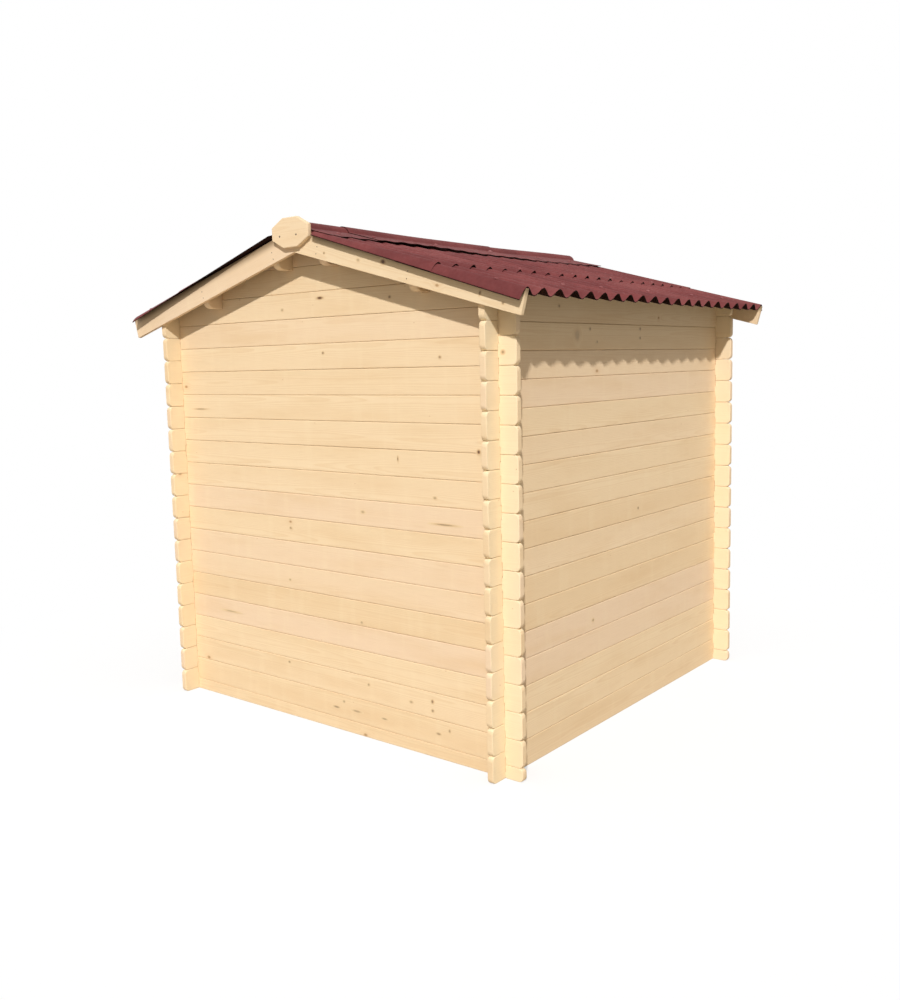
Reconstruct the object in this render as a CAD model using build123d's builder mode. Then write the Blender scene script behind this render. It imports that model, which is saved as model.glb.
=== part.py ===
"""Garden shed of interlocking logs under a corrugated gable roof, in millimetres.

X runs across the gables and Y along the eaves walls, with the door gable at -Y.
Z is up, and the origin is the centre of the plan on the ground.
"""
import os
from math import cos, pi, radians, sin, sqrt, tan

from build123d import *

os.makedirs("parts", exist_ok=True)

# Wall logs
log_height = 114.0
log_thick = 28.0
wall_span = 2010.0
log_overhang = 85.0
eaves_courses = 17
groove_depth = 4.0
end_chamfer = 13.0

# Roof planes: the troughs of the sheets lie on them
roof_pitch = 15.4
eave_reach = 1202.0
eave_height = 1900.5

# Corrugated sheets
wave_depth = 30.0
sheet_thick = 3.5
waves_between_barges = 20
facets_per_wave = 8
ridge_gap = 14.0
upper_row_end = 820.0
lower_row_start = 630.0
seat_gap = 0.3

# Purlins
purlin_thick = 40.0
purlin_depth = 100.0
upper_purlin_x = 145.0
lower_purlin_x = 650.0
purlin_end_radius = 40.0

# Barge boards and gable disc
barge_thick = 18.0
barge_low = -71.0
barge_high = 27.0
disc_width = 226.0
disc_height = 128.0
disc_thick = 22.0
disc_flat = 88.0
disc_side = 54.0
disc_rise = 10.0
disc_clearance = 38.0

# Ridge caps
cap_length = 1100.0
cap_reach = 225.0
roll_radius = 45.0
roll_sink = 26.0
cap_thick = 3.0
middle_cap_offset = 264.0

# Door and its frame
door_width = 700.0
jamb_width = 45.0
jamb_depth = 66.0
jamb_groove = 15.0
head_height = 45.0
leaf_thick = 20.0
leaf_gap = 3.0
board_count = 7
board_groove = 5.0
ledge_height = 90.0
ledge_thick = 20.0
ledge_inset = 30.0
ledge_shares = (0.09, 0.5, 0.91)
hinge_shares = (0.09, 0.91)
strap_length = 330.0
strap_root = 46.0
strap_tip = 24.0
hinge_thick = 4.0
hinge_plate_height = 110.0
hinge_plate_width = 34.0
knuckle_radius = 8.0
handle_share = 0.5
handle_inset = 55.0
plate_width = 40.0
plate_height = 170.0
plate_thick = 3.0
plate_chamfer = 8.0
lever_width = 16.0
lever_thick = 9.0
lever_stand = 42.0
lever_length = 115.0

# Values that follow from the sizes above
log_length = wall_span + 2 * log_overhang
half_span = wall_span / 2
wall_centre = half_span - log_thick / 2
half_course = log_height / 2
eaves_full_height = eaves_courses * log_height
groove_side = groove_depth * sqrt(2)
slope_tan = tan(radians(roof_pitch))
slope_cos = cos(radians(roof_pitch))
slope_sin = sin(radians(roof_pitch))
apex_height = eave_height + eave_reach * slope_tan
eaves_log_top = apex_height - (half_span - log_thick) * slope_tan
gable_courses = int((apex_height - half_course) / log_height)
barge_inner = half_span + log_overhang
barge_outer = barge_inner + barge_thick
sheet_end = eave_reach / slope_cos
wave_pitch = (barge_inner + barge_outer) / waves_between_barges
half_wave = wave_pitch / 2
roof_length = wave_pitch * (waves_between_barges + 1)
nest_lift = sheet_thick + seat_gap
upper_lift = seat_gap + nest_lift
cap_lift = upper_lift + wave_depth + sheet_thick + seat_gap
threshold_top = half_course
door_top = (eaves_courses - 1) * log_height + half_course
log_gap = door_width + 2 * (jamb_width - jamb_groove)
frame_front = -wall_centre - jamb_depth / 2
leaf_low = threshold_top + leaf_gap
leaf_high = door_top - head_height - leaf_gap
leaf_height = leaf_high - leaf_low
leaf_width = door_width - 2 * leaf_gap
leaf_centre_height = (leaf_low + leaf_high) / 2
leaf_back = frame_front + leaf_thick


def slope_point(down, lift):
    """X and Z of a point on the +X slope: distance down from the ridge, height off the roof plane."""
    x = down * slope_cos + lift * slope_sin
    z = apex_height - down * slope_sin + lift * slope_cos
    return (x, z)


def roof_height(x, lift):
    """Z of the plane that lies a given height off the roof plane."""
    return apex_height - abs(x) * slope_tan + lift / slope_cos


def space_above_roof(lift):
    """Outline, in X and Z, of everything above the two roof planes."""
    edge = roof_height(eave_reach, lift)
    ridge = roof_height(0, lift)
    top = ridge + log_height
    return ((0, ridge), (eave_reach, edge), (eave_reach, top), (-eave_reach, top), (-eave_reach, edge))


def eaves_logs(side, courses):
    """Logs of one eaves wall, notched at both corners, with V-joints on the outer face."""
    lows = [course * log_height for course in courses]
    plain = [low for low in lows if low < eaves_full_height - log_height]
    joints = sorted({low for low in lows} | {low + log_height for low in lows})
    with BuildPart() as logs:
        with BuildSketch(Plane.YZ.offset(side * wall_centre)) as faces:
            with Locations([(0, low + half_course) for low in plain]):
                Rectangle(log_length, log_height)
            if len(plain) < len(lows):
                with Locations((0, (lows[-1] + eaves_log_top) / 2)):
                    Rectangle(log_length, eaves_log_top - lows[-1])
            chamfer(faces.vertices(), end_chamfer)
            with Locations([(y, joint) for joint in joints for y in (-wall_centre, wall_centre)]):
                Rectangle(log_thick, half_course, mode=Mode.SUBTRACT)
        extrude(amount=log_thick / 2, both=True)
        with BuildSketch(Plane.XZ):
            with Locations([(side * half_span, joint) for joint in joints if 0 < joint < eaves_full_height]):
                Rectangle(groove_side, groove_side, rotation=45)
            with BuildLine():
                Polyline(space_above_roof(0), close=True)
            make_face()
        extrude(amount=log_length, both=True, mode=Mode.SUBTRACT)
    return logs


def gable_logs(side, courses, doorway):
    """Logs of one gable, from the half log on the ground up to the roof planes, notched for the purlins."""
    middles = [course * log_height for course in courses]
    plain = [middle for middle in middles if 0 < middle < gable_courses * log_height]
    joints = sorted({z + step for z in middles for step in (-half_course, half_course) if z + step > 0})
    with BuildPart() as logs:
        with BuildSketch(Plane.XZ.offset(-side * wall_centre)) as faces:
            with Locations([(0, middle) for middle in plain]):
                Rectangle(log_length, log_height)
            if 0 in courses:
                with Locations((0, half_course / 2)):
                    Rectangle(log_length, half_course)
            if gable_courses in courses:
                low = gable_courses * log_height - half_course
                with Locations((0, (low + apex_height) / 2)):
                    Rectangle(log_length, apex_height - low)
            chamfer(faces.vertices(), end_chamfer)
            with Locations([(x, joint) for joint in joints for x in (-wall_centre, wall_centre)]):
                Rectangle(log_thick, half_course, mode=Mode.SUBTRACT)
            seats = ((upper_purlin_x, roof_height(upper_purlin_x, nest_lift)),
                     (lower_purlin_x, roof_height(lower_purlin_x, 0)))
            with Locations([(turn * x, top) for x, top in seats for turn in (-1, 1)]):
                Rectangle(purlin_thick, 2 * purlin_depth, mode=Mode.SUBTRACT)
            if doorway:
                with Locations((0, (threshold_top + door_top) / 2)):
                    Rectangle(log_gap, door_top - threshold_top, mode=Mode.SUBTRACT)
            with BuildLine():
                Polyline(space_above_roof(0), close=True)
            make_face(mode=Mode.SUBTRACT)
        extrude(amount=log_thick / 2, both=True)
        with BuildSketch(Plane.YZ):
            with Locations([(side * half_span, joint) for joint in joints]):
                Rectangle(groove_side, groove_side, rotation=45)
        extrude(amount=log_length, both=True, mode=Mode.SUBTRACT)
    return logs


def purlin(x, lift):
    """Upright purlin with its top on the roof plane and its lower end corners rounded."""
    side = 1 if x > 0 else -1
    low = roof_height(x, lift) - purlin_depth
    with BuildPart() as beam:
        with BuildSketch(Plane.YZ.offset(x)) as face:
            with Locations((0, low + purlin_depth)):
                Rectangle(log_length, 2 * purlin_depth)
            fillet(face.vertices().group_by(Axis.Z)[0], purlin_end_radius)
        extrude(amount=purlin_thick / 2, both=True)
        with BuildSketch(Plane.XZ):
            near = abs(x) - purlin_thick
            far = abs(x) + purlin_thick
            top = low + 2 * purlin_depth + purlin_thick
            with BuildLine():
                Polyline((side * near, roof_height(near, lift)), (side * far, roof_height(far, lift)),
                         (side * far, top), (side * near, top), close=True)
            make_face()
        extrude(amount=log_length, both=True, mode=Mode.SUBTRACT)
    return beam


def barge_board(side_x, side_y):
    """Board over the log ends along one verge, mitred at the ridge and cut square at the eave."""
    with BuildPart() as board:
        with BuildSketch(Plane.XZ.offset(-side_y * barge_inner)):
            low_end = slope_point(sheet_end, barge_low)
            high_end = slope_point(sheet_end, barge_high)
            with BuildLine():
                Polyline((0, roof_height(0, barge_low)), (side_x * low_end[0], low_end[1]),
                         (side_x * high_end[0], high_end[1]), (0, roof_height(0, barge_high)), close=True)
            make_face()
        extrude(amount=-side_y * barge_thick)
    return board


def wave_line(bottom):
    """Points along one surface of the sheet, from a trough at one verge to a trough at the other."""
    points = []
    for step in range(facets_per_wave * (waves_between_barges + 1) + 1):
        turn = 2 * pi * step / facets_per_wave
        along = step * wave_pitch / facets_per_wave - roof_length / 2
        points.append((along, bottom + wave_depth * (1 - cos(turn)) / 2))
    return points


def roof_sheet(side, row_start, row_end, lift):
    """Row of corrugated sheet on one slope, its waves running from ridge to eave, trimmed clear of the disc."""
    corner = slope_point(row_start, lift)
    down = (side * slope_cos, 0, -slope_sin)
    across = Plane(origin=(side * corner[0], 0, corner[1]), x_dir=(0, side, 0), z_dir=down)
    trim_width = disc_width + 2 * disc_clearance
    with BuildPart() as sheet:
        with BuildSketch(across):
            with BuildLine():
                Polyline(wave_line(0) + wave_line(sheet_thick)[::-1], close=True)
            make_face()
        extrude(amount=row_end - row_start)
        with Locations((0, barge_outer + half_wave, apex_height)):
            Box(trim_width, 2 * half_wave, 2 * disc_height, mode=Mode.SUBTRACT)
    return sheet


def roll_foot(lift, centre_height):
    """Point where the roll, grown by the lift of the wing over its lowest place, meets that wing."""
    rise = roof_height(0, lift) - centre_height
    radius = roll_radius + lift - cap_lift
    spread = 1 + slope_tan ** 2
    x = (slope_tan * rise + sqrt(spread * radius ** 2 - rise ** 2)) / spread
    return (x, roof_height(x, lift))


def ridge_cap(centre, lift):
    """Ridge piece: a half-round roll between two wings that lie on the crests."""
    roll_centre = roof_height(0, cap_lift) - roll_sink
    with BuildPart() as cap:
        with BuildSketch(Plane.XZ.offset(-centre)):
            with BuildLine():
                tips = []
                for level in (lift, lift + cap_thick):
                    tip = slope_point(cap_reach, level)
                    foot = roll_foot(level, roll_centre)
                    crown = (0, roll_centre + roll_radius + level - cap_lift)
                    Line(tip, foot)
                    ThreePointArc(foot, crown, (-foot[0], foot[1]))
                    Line((-foot[0], foot[1]), (-tip[0], tip[1]))
                    tips.append(tip)
                Line(tips[0], tips[1])
                Line((-tips[0][0], tips[0][1]), (-tips[1][0], tips[1][1]))
            make_face()
        extrude(amount=cap_length / 2, both=True)
    return cap


def jamb(side):
    """Door post, grooved to take the cut ends of the logs."""
    with BuildPart() as post:
        with BuildSketch(Plane.XY.offset(threshold_top)):
            with Locations((side * (door_width + jamb_width) / 2, -wall_centre)):
                Rectangle(jamb_width, jamb_depth)
            with Locations((side * (log_gap + jamb_groove) / 2, -wall_centre)):
                Rectangle(jamb_groove, log_thick, mode=Mode.SUBTRACT)
        extrude(amount=door_top - threshold_top)
    return post


def write(builder, name):
    """Label one piece and write it."""
    builder.part.label = name
    export_step(builder.part, f"parts/{name}.step")


# Walls: every other course is one node, so that the logs in a node stand clear of each other
even_eaves = range(0, eaves_courses, 2)
odd_eaves = range(1, eaves_courses, 2)
even_gable = range(0, gable_courses + 1, 2)
odd_gable = range(1, gable_courses + 1, 2)
write(eaves_logs(-1, even_eaves), "left_wall_even_logs")
write(eaves_logs(-1, odd_eaves), "left_wall_odd_logs")
write(eaves_logs(1, even_eaves), "right_wall_even_logs")
write(eaves_logs(1, odd_eaves), "right_wall_odd_logs")
write(gable_logs(1, even_gable, False), "back_wall_even_logs")
write(gable_logs(1, odd_gable, False), "back_wall_odd_logs")
write(gable_logs(-1, even_gable, True), "front_wall_even_logs")
write(gable_logs(-1, odd_gable, True), "front_wall_odd_logs")

# Roof timbers
write(purlin(-upper_purlin_x, nest_lift), "left_upper_purlin")
write(purlin(upper_purlin_x, nest_lift), "right_upper_purlin")
write(purlin(-lower_purlin_x, 0), "left_lower_purlin")
write(purlin(lower_purlin_x, 0), "right_lower_purlin")
write(barge_board(-1, 1), "back_left_barge_board")
write(barge_board(1, 1), "back_right_barge_board")
write(barge_board(-1, -1), "front_left_barge_board")
write(barge_board(1, -1), "front_right_barge_board")

# Eight-sided plate that covers the mitre of the back barge boards
with BuildPart() as gable_disc:
    with BuildSketch(Plane.XZ.offset(-barge_outer)):
        with Locations((0, apex_height + disc_rise)):
            Rectangle(disc_flat, disc_height)
            Rectangle(disc_width, disc_side)
        make_hull()
    extrude(amount=-disc_thick)
write(gable_disc, "back_gable_disc")

# Roof covering: the upper row laps over the lower one, and the middle cap over the two end caps
write(roof_sheet(-1, lower_row_start, sheet_end, seat_gap), "left_lower_roof_sheet")
write(roof_sheet(1, lower_row_start, sheet_end, seat_gap), "right_lower_roof_sheet")
write(roof_sheet(-1, ridge_gap, upper_row_end, upper_lift), "left_upper_roof_sheet")
write(roof_sheet(1, ridge_gap, upper_row_end, upper_lift), "right_upper_roof_sheet")
end_cap_centre = barge_outer - seat_gap - cap_length / 2
write(ridge_cap(end_cap_centre, cap_lift), "back_ridge_cap")
write(ridge_cap(-end_cap_centre, cap_lift), "front_ridge_cap")
write(ridge_cap(middle_cap_offset, cap_lift + cap_thick + seat_gap), "middle_ridge_cap")

# Door frame
write(jamb(-1), "door_left_jamb")
write(jamb(1), "door_right_jamb")

with BuildPart() as door_head:
    with BuildSketch(Plane.XZ.offset(wall_centre)):
        with Locations((0, door_top - head_height / 2)):
            Rectangle(door_width, head_height)
    extrude(amount=jamb_depth / 2, both=True)
write(door_head, "door_head")

# Door leaf of upright boards with V-joints, hung flush with the frame
with BuildPart() as door_leaf:
    with BuildSketch(Plane.XZ.offset(-leaf_back)):
        with Locations((0, leaf_centre_height)):
            Rectangle(leaf_width, leaf_height)
    extrude(amount=leaf_thick)
    with BuildSketch(Plane.XY.offset(leaf_low)):
        with Locations((0, frame_front)):
            with GridLocations(leaf_width / board_count, 0, board_count - 1, 1):
                Rectangle(board_groove * sqrt(2), board_groove * sqrt(2), rotation=45)
    extrude(amount=leaf_height, mode=Mode.SUBTRACT)
write(door_leaf, "door_leaf")

# Ledges across the back of the leaf, with a brace between each pair
with BuildPart() as door_ledges:
    with BuildSketch(Plane.XZ.offset(-leaf_back)):
        for share in ledge_shares:
            with Locations((0, leaf_low + share * leaf_height)):
                Rectangle(leaf_width - 2 * ledge_inset, ledge_height)
        for lower, upper in zip(ledge_shares[:-1], ledge_shares[1:]):
            low = leaf_low + lower * leaf_height + ledge_height / 2
            high = leaf_low + upper * leaf_height - ledge_height / 2
            hinge_side = ledge_inset - leaf_width / 2
            with BuildLine():
                Polyline((hinge_side, low), (hinge_side + ledge_height, low),
                         (-hinge_side, high), (-hinge_side - ledge_height, high), close=True)
            make_face()
    extrude(amount=-ledge_thick)
write(door_ledges, "door_ledges")

# Strap hinges: a tapered strap on the leaf, a plate on the post and the knuckle between them
with BuildPart() as door_hinges:
    with BuildSketch(Plane.XZ.offset(-frame_front)):
        for share in hinge_shares:
            height = leaf_low + share * leaf_height
            root = -door_width / 2
            with BuildLine():
                Polyline((root, height - strap_root / 2), (root + strap_length, height - strap_tip / 2),
                         (root + strap_length, height + strap_tip / 2), (root, height + strap_root / 2), close=True)
            make_face()
            with Locations((root - hinge_plate_width / 2, height)):
                Rectangle(hinge_plate_width, hinge_plate_height)
    extrude(amount=hinge_thick)
    for share in hinge_shares:
        low = leaf_low + share * leaf_height - hinge_plate_height / 2
        with BuildSketch(Plane.XY.offset(low)):
            with Locations((-door_width / 2, frame_front - knuckle_radius)):
                Circle(knuckle_radius)
        extrude(amount=hinge_plate_height)
write(door_hinges, "door_hinges")

# Bar lever on a plate
handle_x = leaf_width / 2 - handle_inset
handle_height = leaf_low + handle_share * leaf_height
with BuildPart() as door_handle:
    with BuildSketch(Plane.XZ.offset(-frame_front)) as plate:
        with Locations((handle_x, handle_height)):
            Rectangle(plate_width, plate_height)
        chamfer(plate.vertices(), plate_chamfer)
    extrude(amount=plate_thick)
    with BuildSketch(Plane.XZ.offset(-frame_front)):
        with Locations((handle_x, handle_height)):
            Rectangle(lever_width, lever_width)
    extrude(amount=lever_stand)
    with BuildSketch(Plane.XZ.offset(lever_stand - frame_front)) as lever:
        with Locations((handle_x + lever_width / 2 - lever_length / 2, handle_height)):
            Rectangle(lever_length, lever_width)
        chamfer(lever.vertices(), lever_width / 4)
    extrude(amount=-lever_thick)
write(door_handle, "door_handle")
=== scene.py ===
import math
import random

import bmesh
import bpy
from mathutils import Matrix, Vector


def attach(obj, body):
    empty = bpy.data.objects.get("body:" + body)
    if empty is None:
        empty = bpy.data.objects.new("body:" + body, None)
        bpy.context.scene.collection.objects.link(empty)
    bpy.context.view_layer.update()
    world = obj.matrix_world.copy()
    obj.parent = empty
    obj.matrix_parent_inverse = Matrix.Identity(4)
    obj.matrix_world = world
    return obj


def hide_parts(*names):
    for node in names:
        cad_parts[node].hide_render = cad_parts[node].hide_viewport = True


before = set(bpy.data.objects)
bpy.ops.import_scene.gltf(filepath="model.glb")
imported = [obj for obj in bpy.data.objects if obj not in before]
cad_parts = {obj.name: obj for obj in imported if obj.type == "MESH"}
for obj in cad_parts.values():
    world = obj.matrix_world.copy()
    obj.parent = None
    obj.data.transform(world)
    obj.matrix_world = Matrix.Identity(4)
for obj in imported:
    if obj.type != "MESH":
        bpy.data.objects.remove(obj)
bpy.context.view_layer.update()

# Sizes are in metres and repeat those of the CAD source. SEAT is the play between pieces that touch.
SEAT = 0.0003
SIDES = ((-1, "left"), (1, "right"))

# Walls: HALF is half of the outer span, REACH is half of a log's length
COURSE = 0.114
THICK = 0.028
HALF = 1.005
REACH = 1.090
EAVES_COURSES = 17
WHOLE_GABLE_COURSES = 17
WALL_MID = HALF - THICK / 2
NOTCH = COURSE / 4
CLEAR = THICK / 2 + SEAT
CORNERS = [(-WALL_MID, NOTCH), (WALL_MID, NOTCH)]
LOG_END_RADIUS = 0.021
LOG_TIP_RADIUS = 0.006
LOG_OFFSET = 0.0005

# Roof planes
PITCH = math.radians(15.4)
TAN = math.tan(PITCH)
COS = math.cos(PITCH)
SIN = math.sin(PITCH)
EAVE_X = 1.202
EAVE_Z = 1.9005
APEX = EAVE_Z + EAVE_X * TAN
SLOPE = EAVE_X / COS

# Barge boards: inner and outer face along Y, lower and upper edge from the roof plane
BARGE_IN = 1.090
BARGE_OUT = 1.108
BARGE_LOW = -0.071
BARGE_HIGH = 0.027
BARGE_EASE = 0.0016

# Corrugated sheets: the rows start and end at these distances down from the ridge
CREST_Y = (BARGE_IN + BARGE_OUT) / 2
WAVES = 21
WAVE = CREST_Y / 10
DEPTH = 0.030
SHEET = 0.0035
NEST = SHEET + SEAT
LOWER_START = 0.630
UPPER_START = 0.014
UPPER_END = 0.820

# Purlins: place along X and height of the top off the roof plane
PURLINS = {"upper": (0.145, NEST), "lower": (0.650, 0.0)}
PURLIN_T = 0.040
PURLIN_D = 0.100
PURLIN_END_RADIUS = 0.040

# Ridge caps
CAP_LIFT = 0.0379
CAP_T = 0.003
CAP_REACH = 0.225
CAP_LENGTH = 1.100
ROLL = 0.045
ROLL_SINK = 0.026
END_CAP_Y = BARGE_OUT - SEAT - CAP_LENGTH / 2
MIDDLE_CAP_Y = 0.264
MIDDLE_CAP_LIFT = CAP_LIFT + CAP_T + SEAT

# Eight-sided plate over the mitre
DISC_W = 0.226
DISC_H = 0.128
DISC_FLAT = 0.088
DISC_SIDE = 0.054
DISC_T = 0.022
DISC_RISE = 0.010
DISC_CORNER_RADIUS = 0.006

# Door: FRONT is the outer face of its leaf
DOOR_W = 0.700
JAMB_W = 0.045
JAMB_D = 0.066
JAMB_GROOVE = 0.015
HEAD = 0.045
THRESHOLD = COURSE / 2
DOOR_TOP = 16.5 * COURSE
FRONT = -WALL_MID - JAMB_D / 2
LEAF_GAP = 0.003
LEAF_T = 0.020
LEAF_W = DOOR_W - 2 * LEAF_GAP
LEAF_LOW = THRESHOLD + LEAF_GAP
LEAF_HIGH = DOOR_TOP - HEAD - LEAF_GAP
BOARDS = 7
BOARD_OFFSET = 0.0003
BOARD_EASE = 0.0045
FRAME_EASE = 0.003
LEDGE_INSET = 0.030
LEDGE_HEIGHT = 0.090
LEDGE_T = 0.020
LEDGE_RADIUS = 0.004
LEDGE_HEIGHTS = [LEAF_LOW + share * (LEAF_HIGH - LEAF_LOW) for share in (0.09, 0.5, 0.91)]

dice = random.Random(7)


def roof_z(x, lift=0.0):
    return APEX - abs(x) * TAN + lift / COS


def slope_point(side, down, lift, y):
    """Point on one slope: distance down from the ridge, height off the roof plane, place along the ridge."""
    return Vector((side * (down * COS + lift * SIN), y, APEX - down * SIN + lift * COS))


def smooth(t):
    t = min(1.0, max(0.0, t))
    return t * t * (3 - 2 * t)


# Materials

class Graph:
    """Node tree of one material, with short calls for the nodes that it uses."""

    def __init__(self, name):
        self.material = bpy.data.materials.new(name)
        self.material.use_nodes = True
        self.tree = self.material.node_tree
        self.tree.nodes.clear()
        self.bsdf = self.node("ShaderNodeBsdfPrincipled")
        self.link(self.bsdf.outputs[0], self.node("ShaderNodeOutputMaterial").inputs[0])

    def node(self, kind, **values):
        made = self.tree.nodes.new(kind)
        for key, value in values.items():
            setattr(made, key, value)
        return made

    def link(self, a, b):
        self.tree.links.new(a, b)

    def put(self, socket, value):
        if hasattr(value, "is_output"):
            self.link(value, socket)
        else:
            socket.default_value = value

    def math(self, operation, a, b=0.0, clamp=False):
        n = self.node("ShaderNodeMath", operation=operation, use_clamp=clamp)
        self.put(n.inputs[0], a)
        self.put(n.inputs[1], b)
        return n.outputs[0]

    def times(self, a, b):
        return self.math("MULTIPLY", a, b)

    def plus(self, a, b):
        return self.math("ADD", a, b)

    def minus(self, a, b, clamp=False):
        return self.math("SUBTRACT", a, b, clamp)

    def mix(self, factor, a, b):
        n = self.node("ShaderNodeMix", data_type="RGBA")
        self.put(n.inputs[0], factor)
        self.put(n.inputs[6], a)
        self.put(n.inputs[7], b)
        return n.outputs[2]

    def ramp(self, value, low, high, a=0.0, b=1.0):
        n = self.node("ShaderNodeMapRange", interpolation_type="SMOOTHSTEP", clamp=True)
        for socket, entry in zip(n.inputs, (value, low, high, a, b)):
            self.put(socket, entry)
        return n.outputs[0]

    def vector(self, x, y, z=0.0):
        n = self.node("ShaderNodeCombineXYZ")
        for socket, entry in zip(n.inputs, (x, y, z)):
            self.put(socket, entry)
        return n.outputs[0]

    def split(self, vector):
        n = self.node("ShaderNodeSeparateXYZ")
        self.link(vector, n.inputs[0])
        return n.outputs

    def attribute(self, name):
        return self.node("ShaderNodeAttribute", attribute_name=name).outputs["Fac"]

    def uv(self, name):
        u, v, _ = self.split(self.node("ShaderNodeUVMap", uv_map=name).outputs[0])
        return u, v

    def place(self):
        return self.node("ShaderNodeTexCoord").outputs["Object"]

    def noise(self, vector, scale=1.0, detail=3.0, rough=0.55):
        n = self.node("ShaderNodeTexNoise")
        self.link(vector, n.inputs["Vector"])
        n.inputs["Scale"].default_value = scale
        n.inputs["Detail"].default_value = detail
        n.inputs["Roughness"].default_value = rough
        return n.outputs[0]

    def streaks(self, u, v, along, across, detail=2.0):
        """Noise stretched by a frequency along the grain and one across it."""
        return self.noise(self.vector(self.times(u, along), self.times(v, across)), 1.0, detail)

    def bump(self, height, distance, strength):
        n = self.node("ShaderNodeBump")
        n.inputs["Strength"].default_value = strength
        n.inputs["Distance"].default_value = distance
        self.link(height, n.inputs["Height"])
        self.link(n.outputs[0], self.bsdf.inputs["Normal"])


def rgb(red, green, blue):
    return red, green, blue, 1.0


LOG_PALE = rgb(0.885, 0.690, 0.448)
BOARD_PALE = rgb(0.875, 0.685, 0.450)
LATE_WOOD = rgb(0.755, 0.525, 0.290)
PINK_WOOD = rgb(0.850, 0.640, 0.450)
PLANER_SHEEN = rgb(0.92, 0.75, 0.50)
FIBRE_BROWN = rgb(0.50, 0.29, 0.13)
TIP_PALE = rgb(0.93, 0.79, 0.54)
RESIN = rgb(0.62, 0.36, 0.16)
# Colour of the painted shade under the roof sheet's overhang
SHADE_PAINT = rgb(0.16, 0.095, 0.042)
# Colour of the painted shade in the joints
PAINTED_JOINT_SHADE = rgb(0.40, 0.25, 0.125)
KNOT_RIM = rgb(0.83, 0.625, 0.375)
KNOT_RING = rgb(0.46, 0.255, 0.110)
KNOT_CORE = rgb(0.13, 0.062, 0.026)
RING_WIDTH = 0.0046


def small_knots(g, u, v):
    """Scattered knots: how far inside a knot a point is, and inside the wider ring of bent grain round it."""
    cells = g.node("ShaderNodeTexVoronoi", voronoi_dimensions="2D")
    cells.inputs["Scale"].default_value = 2.7
    g.link(g.vector(g.times(u, 0.6), v), cells.inputs["Vector"])
    chance = g.split(cells.outputs["Color"])[0]
    size = g.ramp(chance, 0.80, 1.0, 0.004, 0.026)
    far = cells.outputs["Distance"]
    knot = g.minus(1.0, g.math("DIVIDE", far, size), clamp=True)
    halo = g.minus(1.0, g.math("DIVIDE", far, g.times(size, 3.5)), clamp=True)
    return knot, halo


def late_wood(g, u, v, tone, halo):
    """Dark part of the year rings, which the face cuts at a depth and lean of each board's own."""
    along, across = g.uv("place")
    drift = g.streaks(u, tone, 0.45, 9.0, 1.0)
    pith = g.plus(0.008, g.times(drift, 0.060))
    depth = g.plus(pith, g.times(g.attribute("end_grain"), along))
    lean = g.times(g.minus(g.math("FRACT", g.times(tone, 17.0)), 0.5), 0.12)
    height = g.plus(across, lean)
    wobble = g.times(g.streaks(u, v, 2.2, 14.0), 0.008)
    radius = g.math("SQRT", g.plus(g.times(height, height), g.times(depth, depth)))
    radius = g.plus(g.plus(radius, wobble), g.times(halo, 0.006))
    ring = g.math("FRACT", g.math("DIVIDE", radius, RING_WIDTH))
    return g.times(g.ramp(ring, 0.35, 0.90), g.ramp(ring, 1.0, 0.93))


def spruce(name, pale, tips=0.0, overhang_shade=0.0):
    """Planed spruce: rings, fibres, knots, boards of different tone and painted shade along the lower edge of
    each board, in the joints.

    tips is how much paler the log ends are, and the last argument how dark the painted shade on the upper
    part of a board is, under the roof sheet's overhang.
    """
    g = Graph(name)
    u, v = g.uv("grain")
    along, across = g.uv("place")
    tone = g.attribute("tone")
    knot, halo = small_knots(g, u, v)
    late = late_wood(g, u, v, tone, halo)
    fibre = g.streaks(u, v, 9.0, 620.0)
    cloud = g.streaks(u, v, 1.5, 9.0, 3.0)
    chatter = g.streaks(u, v, 15.0, 1.5)

    body = g.mix(g.times(late, 0.34), pale, LATE_WOOD)
    body = g.mix(g.ramp(tone, 0.40, 0.95, 0.0, 0.75), body, PINK_WOOD)
    body = g.mix(g.ramp(tone, 0.30, 0.0, 0.0, 0.30), body, LATE_WOOD)
    body = g.mix(g.ramp(cloud, 0.42, 0.80, 0.0, 0.45), body, LATE_WOOD)
    body = g.mix(g.ramp(chatter, 0.50, 0.75, 0.0, 0.20), body, PLANER_SHEEN)
    body = g.mix(g.ramp(fibre, 0.45, 0.80, 0.0, 0.16), body, FIBRE_BROWN)
    # Paler towards the log ends, past the corners.
    if tips:
        body = g.mix(g.ramp(g.math("ABSOLUTE", along), 0.985, 1.010, 0.0, tips), body, TIP_PALE)
    body = g.mix(g.times(g.times(halo, halo), 0.40), body, RESIN)
    body = g.mix(g.ramp(knot, 0.0, 0.5, 0.0, 0.60), body, KNOT_RING)
    body = g.mix(g.ramp(knot, 0.45, 1.0, 0.0, 0.45), body, KNOT_CORE)
    # Painted shade: the upper part of the board darkened where the roof sheet's overhang shades it.
    if overhang_shade:
        body = g.mix(g.ramp(across, 0.006, 0.050, 0.0, overhang_shade), body, SHADE_PAINT)
    # Painted shade: the lower eased edge of each board darkened, where the joint lies in shade.
    joint_shade = g.times(g.ramp(g.attribute("edge"), 0.0016, 0.0003), g.ramp(cloud, 0.36, 0.62, 0.08, 0.42))
    body = g.mix(joint_shade, body, PAINTED_JOINT_SHADE)
    g.link(body, g.bsdf.inputs["Base Color"])
    g.link(g.ramp(fibre, 0.3, 0.8, 0.52, 0.68), g.bsdf.inputs["Roughness"])
    g.bsdf.inputs["Specular IOR Level"].default_value = 0.25
    relief = g.plus(g.times(late, 0.4), fibre)
    g.bump(g.minus(relief, g.times(knot, 0.6)), 0.0004, 0.7)
    return g.material


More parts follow.
